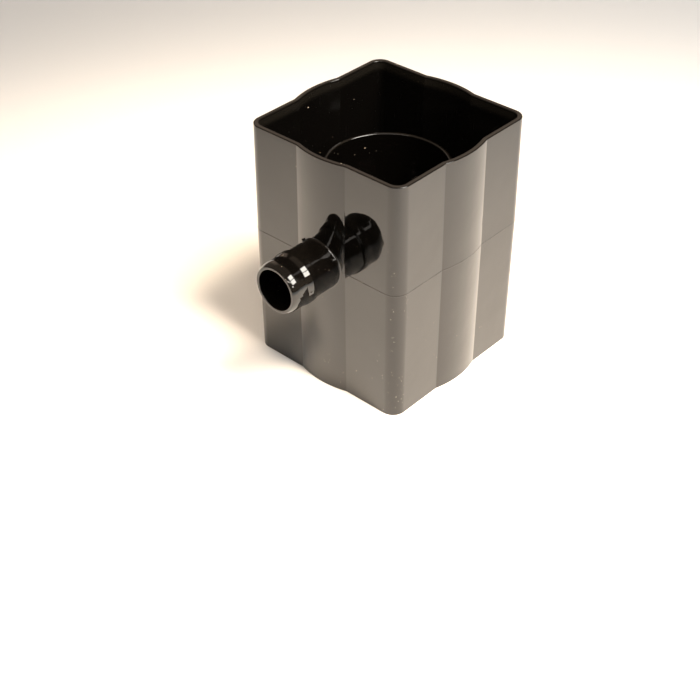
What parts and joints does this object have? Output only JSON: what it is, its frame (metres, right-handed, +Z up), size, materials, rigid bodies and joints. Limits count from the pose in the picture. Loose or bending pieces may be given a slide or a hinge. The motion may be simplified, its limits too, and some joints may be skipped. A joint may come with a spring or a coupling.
{
  "type": "rainwater diverter",
  "caption": "Moulded diverter body for a downpipe: open sockets above and below, an overflow upstand in a collecting trough, and a barbed side spout for a hose.",
  "frame": {"origin": "centre of the bottom rim, on the axis of the downpipe", "axes": "+Z up along the downpipe, -Y out along the hose spout, +X across the spout"},
  "size_m": [0.075, 0.0969, 0.0972],
  "materials": {
    "body": "glossy black injection-moulded plastic"
  },
  "bodies": {
    "root": {"diverter_body": "body"}
  },
  "joints": []
}
